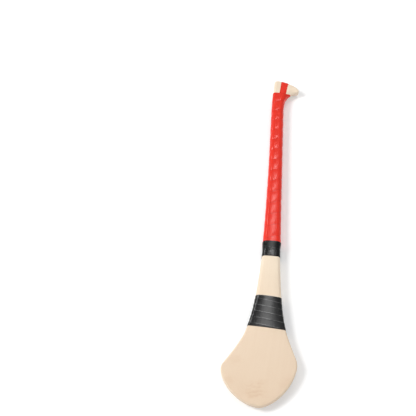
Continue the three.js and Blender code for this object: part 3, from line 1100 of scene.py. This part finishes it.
        axis = sketch.vector(size["Axis across"], along, middle)
        heel = sketch.parts(ray(axis, (1.0, 0.0, 0.0)))[0]
        toe = sketch.parts(ray(axis, (-1.0, 0.0, 0.0)))[0]
        centre = (heel + toe) * 0.5
        half = sketch.parts(ray(sketch.vector(centre, along, middle), (0.0, 0.0, 1.0)))[2] - middle
        core = sketch.math("MAXIMUM", (heel - toe) * 0.5 - half, 0.0)
        arc = half * math.pi
        girth = arc * 2.0 + core * 4.0
        walked = sketch.math("FRACT", turn) * girth
        angle = (sketch.clamp(walked / half, 0.0, math.pi)
                 + sketch.clamp((walked - arc - core * 2.0) / half, 0.0, math.pi))
        over_back = sketch.clamp(walked - arc, 0.0, core * 2.0)
        over_front = sketch.clamp(walked - arc * 2.0 - core * 2.0, 0.0, core * 2.0)
        across = centre + size["Way"] * (core - over_back + over_front)
        out, up = size["Way"] * sketch.math("SINE", angle), sketch.math("COSINE", angle)
        heelward = sketch.math("MAXIMUM", out, 0.0)
        near_start = 1.0 - sketch.ease(station - size["Start"], 0.0, size["Climb length"])
        slanted = (along - size["Slant"] * (across + out * half - size["Axis across"])
                   + size["Climb"] * heelward * heelward * near_start)
        met = ray(sketch.vector(across, slanted, middle), sketch.vector(out, 0.0, up))
        normal = sketch.value(
            "GeometryNodeSampleNearestSurface",
            {"data_type": "FLOAT_VECTOR"},
            {"Mesh": skin, "Value": sketch.value("GeometryNodeInputNormal"), "Sample Position": met})
        return met, normal, turn * girth


@dataclass
class Winding:
    """A strip wound round the stick with a lap, in millimetres."""

    name: str
    node: Node
    finish: Finish
    start: float
    end: float
    turns: float
    lap: float
    edge: float
    body: float
    ramp: float = 6.0
    edge_rise: float = 1.2
    edge_fall: float = 1.2
    slant: float = 0.0
    way: Way = Way.HEEL_FIRST
    climb: float = 0.0
    climb_length: float = 16.0
    lift: float = 0.0
    lift_length: float = 6.0
    turn_gap: float = 0.03
    seat: float = 0.12
    tip: float = 3.0
    unevenness: float = 0.1
    seed: float = 1.0
    steps_round: int = 84
    steps_across: int = 16
    LENGTHS: ClassVar[tuple[str, ...]] = (
        "start", "end", "lap", "ramp", "edge", "body", "edge_rise", "edge_fall", "turn_gap", "seat", "climb",
        "climb_length", "lift", "lift_length", "tip", "unevenness")

    def sizes(self, form: StickForm) -> dict[str, float | int]:
        """Values for the tree's inputs.

        Args:
            form: The stick's shape.

        Returns:
            The values by input name, in metres.
        """
        low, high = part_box(Node.STICK.value)
        lengths = {name: getattr(self, name) for name in self.LENGTHS}
        lengths |= {"pitch": (self.end - self.start) / self.turns, "axis_across": form.axis_across}
        return {
            **{name.replace("_", " ").capitalize(): length * MM for name, length in lengths.items()},
            "Butt": high.y,
            "Middle height": (low.z + high.z) / 2,
            "Slant": self.slant,
            "Way": self.way.value,
            "Seed": self.seed,
            "Steps round": self.steps_round,
            "Steps across": self.steps_across,
        }

    def build(self, tree: bpy.types.NodeTree, stick: bpy.types.Object, form: StickForm) -> bpy.types.Object:
        """Winds the strip and turns it into a plain mesh.

        Args:
            tree: The winding tree.
            stick: The stick that it goes round.
            form: The stick's shape.

        Returns:
            The wound strip.
        """
        made = bpy.data.objects.new(self.name, bpy.data.meshes.new(self.name))
        bpy.context.scene.collection.objects.link(made)
        modifier = made.modifiers.new("winding", "NODES")
        modifier.node_group = tree
        values = {**self.sizes(form), "Stick": stick, "Finish": self.finish.material()}
        for item in tree.interface.items_tree:
            if item.in_out == "INPUT":
                modifier[item.identifier] = values[item.name]
        graph = bpy.context.evaluated_depsgraph_get()
        mesh = bpy.data.meshes.new_from_object(made.evaluated_get(graph))
        made.modifiers.remove(modifier)
        made.data = mesh
        self.turn_outward(mesh)
        mesh.set_sharp_from_angle(angle=STRIP_CREASE)
        return made

    @staticmethod
    def turn_outward(mesh: bpy.types.Mesh) -> None:
        """Turns the faces outward if the winding's direction left them inside out."""
        work = bmesh.new()
        work.from_mesh(mesh)
        if work.calc_volume(signed=True) < 0:
            bmesh.ops.reverse_faces(work, faces=work.faces)
        work.to_mesh(mesh)
        work.free()


@dataclass
class ButtStrip:
    """The strip over the butt, with both ends under the grip's first turn."""

    stick: AshStick
    finish: GripFinish
    grip_width: float = 13.2
    butt_width: float = 15.3
    thickness: float = 0.4
    grip_offset: float = 9.0
    butt_offset: float = 15.0
    tucked_end: float = 43.0
    seat: float = 0.06
    crown: float = 0.35
    steps_across: int = 10
    corner_steps: int = 10
    run_steps: int = 10

    def butt_station(self, side: Side, across: np.ndarray) -> np.ndarray:
        """Stations of the outline's butt end at the given reaches.

        Args:
            side: The outline's heel side.
            across: Reaches from the axis.

        Returns:
            The stations.
        """
        butt = side.points[side.points[:, 1] <= self.stick.form.hook_tip[1]]
        return np.interp(across, butt[:, 0], butt[:, 1])

    def layer(self, above: np.ndarray) -> np.ndarray:
        """One face of the strip at a height over the wood.

        Args:
            above: Height for each place across the strip.

        Returns:
            The points, across and then along the strip.
        """
        form = self.stick.form
        heel = form.heel_side()
        share = np.linspace(-0.5, 0.5, self.steps_across + 1)
        station = self.butt_station(heel, self.butt_offset + self.butt_width * share)
        point, inward = heel.at(station)
        inset = StickForm.runs(form.insets, station)
        fall = StickForm.runs(form.falls, station)
        over = []
        for angle in np.linspace(math.pi / 2, 0.0, self.corner_steps + 1):
            normal = np.column_stack([fall * math.cos(angle), inset * math.sin(angle)])
            normal /= np.linalg.norm(normal, axis=1)[:, None]
            inward_by = inset * (1 - math.cos(angle)) - above * normal[:, 0]
            place = point + inward * inward_by[:, None]
            height = form.half_thickness(place[:, 1]) - fall * (1 - math.sin(angle)) + above * normal[:, 1]
            over.append(np.column_stack([place, height]))
        tucked = np.full(len(share), self.tucked_end)
        end = np.column_stack([self.grip_offset + self.grip_width * share, tucked,
                               form.half_thickness(tucked) + above])
        run = [end + (over[0] - end) * share for share in np.linspace(0.0, 1.0, self.run_steps + 1)[:-1]]
        front = run + over
        back = [place * (1, 1, -1) for place in reversed(front)]
        return self.stick.thinned(np.stack(front + back, axis=1), heel)

    def build(self) -> bpy.types.Object:
        """Builds the strip as a thin closed sheet.

        Returns:
            The strip.
        """
        share = np.linspace(-1.0, 1.0, self.steps_across + 1)
        swell = self.crown * (1 - share ** 4)
        under = self.layer(np.full(len(share), self.seat))
        top = self.layer(self.seat + self.thickness - self.crown + swell)
        rings = np.concatenate([under, top[:, ::-1]], axis=1)
        count, size = rings.shape[:2]
        faces = ring_faces(count, size)
        for base in (0, (count - 1) * size):
            faces += [[base + k, base + k + 1, base + size - 2 - k, base + size - 1 - k]
                      for k in range(size // 2 - 1)]
        flat = rings.reshape(-1, 3)
        across = np.repeat(np.minimum(1 + share, 1 - share) * self.grip_width / 2, size)
        strip = np.column_stack([flat[:, 1] * MM, across * MM, flat[:, 2] * 0.0])
        place = self.stick.form.row(flat)
        mesh = mesh_from("hurley_butt_strip", place, faces, STRIP_CREASE, {"strip": strip})
        return new_object("hurley_butt_strip", mesh, self.finish.material())


class Task(Enum):
    """What a lamp does: it lights the scene, or it only shows as sheen on glossy surfaces."""

    LIGHT = "light"
    SHEEN = "sheen"


@dataclass(frozen=True)
class Lamp:
    """A soft box, aimed at the object's middle."""

    name: str
    azimuth: float
    elevation: float
    distance: float
    width: float
    height: float
    share: float
    task: Task = Task.LIGHT

    def build(self, target: Vector) -> None:
        """Hangs the lamp, as bright as gives its share of a plain level on the floor.

        Args:
            target: What it is aimed at.
        """
        turn, rise = math.radians(self.azimuth), math.radians(self.elevation)
        toward = Vector((math.sin(turn) * math.cos(rise), math.cos(turn) * math.cos(rise), math.sin(rise)))
        lamp = bpy.data.lights.new(self.name, "AREA")
        lamp.shape = "RECTANGLE"
        lamp.size = self.width
        lamp.size_y = self.height
        lamp.energy = self.share * math.pi ** 2 * self.distance ** 2 / math.sin(rise)
        hung = bpy.data.objects.new(self.name, lamp)
        hung.location = target + toward * self.distance
        hung.rotation_euler = toward.to_track_quat("Z", "Y").to_euler()
        hung.visible_glossy = self.task is Task.SHEEN
        hung.visible_diffuse = self.task is Task.LIGHT
        bpy.context.scene.collection.objects.link(hung)


@dataclass
class Studio:
    """Pale floor, soft light and the camera."""

    floor_reach: float = 6.0
    floor_colour: Colour = (0.86, 0.86, 0.86, 1.0)
    floor_glow: float = 0.26
    world_share: float = 0.41
    camera_place: Triple = (-0.04470, -0.71147, 1.05430)
    camera_turn: Triple = (35.0, 0.0, 5.04)
    lens: float = 58.656
    sensor: float = 36.0
    near_clip: float = 0.01
    camera_shift: float = -0.0006
    lamps: tuple[Lamp, ...] = (
        Lamp("key", -96.0, 45.0, 2.3, 0.8, 0.8, 0.49),
        Lamp("back", 0.0, 60.0, 1.9, 1.0, 1.0, 0.13),
        Lamp("fill", 95.0, 20.0, 2.6, 1.6, 1.6, 0.085),
        Lamp("front", 178.0, 42.0, 2.4, 1.6, 1.6, 0.05),
        Lamp("grip sheen", 7.0, 54.5, 1.84, 0.4, 0.36, 0.021, Task.SHEEN),
        Lamp("throat sheen", 8.0, 74.5, 1.84, 0.41, 0.5, 0.06, Task.SHEEN),
        Lamp("edge line", -49.0, 39.0, 2.2, 0.13, 1.1, 0.105, Task.SHEEN),
        Lamp("turn spots", 6.0, 53.0, 2.2, 0.42, 0.2, 0.028, Task.SHEEN),
        Lamp("lower turn spots", 7.0, 60.5, 2.2, 0.3, 0.12, 0.037, Task.SHEEN),
    )

    def build_floor(self) -> None:
        """Lays the floor, a little brighter to the camera so that it shows as white paper."""
        far = self.floor_reach
        mesh = bpy.data.meshes.new("floor")
        mesh.from_pydata([(-far, -far, 0), (far, -far, 0), (far, far, 0), (-far, far, 0)], [], [[0, 1, 2, 3]])
        material = bpy.data.materials.new("floor paper")
        sketch = Sketch.cleared(material)
        paper = sketch.value("ShaderNodeBsdfDiffuse", inputs={"Color": self.floor_colour})
        path = sketch.node("ShaderNodeLightPath")
        camera, glossy, through = (Expression(sketch, path.outputs[name]) for name in (
            "Is Camera Ray", "Is Glossy Ray", "Is Transmission Ray"))
        shown = sketch.math("MAXIMUM", sketch.math("MAXIMUM", camera, glossy), through)
        glow = sketch.value("ShaderNodeEmission", inputs={"Strength": shown * self.floor_glow})
        both = sketch.value("ShaderNodeAddShader", inputs={0: paper, 1: glow})
        sketch.node("ShaderNodeOutputMaterial", inputs={"Surface": both})
        new_object("floor", mesh, material)

    def build_world(self) -> None:
        """Sets the even light from all round."""
        world = bpy.data.worlds.new("studio")
        sketch = Sketch.cleared(world)
        light = sketch.value("ShaderNodeBackground", inputs={"Strength": self.world_share})
        sketch.node("ShaderNodeOutputWorld", inputs={"Surface": light})
        bpy.context.scene.world = world

    def build_camera(self) -> None:
        """Places the camera at the photograph's viewing angle."""
        camera = bpy.data.cameras.new("camera")
        camera.sensor_width = self.sensor
        camera.lens = self.lens
        camera.clip_start = self.near_clip
        camera.shift_x = self.camera_shift
        placed = bpy.data.objects.new("camera", camera)
        placed.location = self.camera_place
        placed.rotation_euler = Euler([math.radians(angle) for angle in self.camera_turn])
        bpy.context.scene.collection.objects.link(placed)
        bpy.context.scene.camera = placed

    def build(self) -> None:
        """Builds the floor, the light and the camera."""
        self.build_floor()
        self.build_world()
        low, high = cad_box
        for lamp in self.lamps:
            lamp.build((low + high) / 2)
        self.build_camera()
        bpy.context.scene.view_settings.view_transform = "Standard"


def windings(form: StickForm) -> list[Winding]:
    """The three wound strips.

    Args:
        form: The stick's shape.

    Returns:
        The grip, the finishing tape and the throat tape.
    """
    grip = GripFinish("red cushioned grip", Slot.GRIP)
    tape = TapeFinish("black tape", Slot.TAPE)
    # The finishing tape's lapping edge gets a dimmer grey, partly wear and partly a painted highlight.
    half_matt = TapeFinish("black finishing tape", Slot.TAPE, wear_and_highlight=(0.04, 0.04, 0.04, 1.0), specular=0.35)
    grip_pitch = 25.6
    grip_under_tape = 6.0
    tape_start = form.grip_end + 0.3
    tape_run = 31.0
    return [
        Winding("hurley_grip", Node.GRIP, grip, start=form.knob_length - 0.8,
                end=form.grip_end + grip_under_tape, turns=(form.grip_end - form.knob_length) / grip_pitch,
                lap=2.6, edge=0.3, body=1.36, ramp=3.6, edge_rise=10.5, edge_fall=12.0, way=Way.TOE_FIRST,
                climb=3.0, lift=0.4, lift_length=7.0, unevenness=0.2),
        Winding("hurley_finishing_tape", Node.FINISHING, half_matt, start=tape_start,
                end=tape_start + tape_run, turns=2.0, lap=2.2, edge=0.13, body=0.22, lift=1.6,
                lift_length=16.0, unevenness=0.05, seed=2.0),
        Winding("hurley_throat_tape", Node.THROAT, tape, start=form.throat_station - 0.8,
                end=form.shoulder_station - 1.2, turns=5.0, lap=2.4, edge=0.14, body=0.26, slant=0.055,
                turn_gap=0.02, unevenness=0.06, seed=3.0, steps_round=180),
    ]


def main() -> None:
    """Builds the hurley and its studio."""
    logging.basicConfig(level=logging.INFO, format="%(name)s: %(message)s")
    form = StickForm()
    stick = AshStick(form, AshFinish("pale ash", Slot.ASH))
    wood = stick.build()
    bpy.context.view_layer.update()
    tree = WindingTree().build()
    strips = [(winding, winding.build(tree, wood, form)) for winding in windings(form)]
    finish_piece(wood, Node.STICK)
    for winding, strip in strips:
        finish_piece(strip, winding.node)
    butt = ButtStrip(stick, GripFinish("red strip", Slot.GRIP))
    finish_piece(butt.build(), Node.BUTT_STRIP)
    Studio().build()


if __name__ == "__main__":
    main()
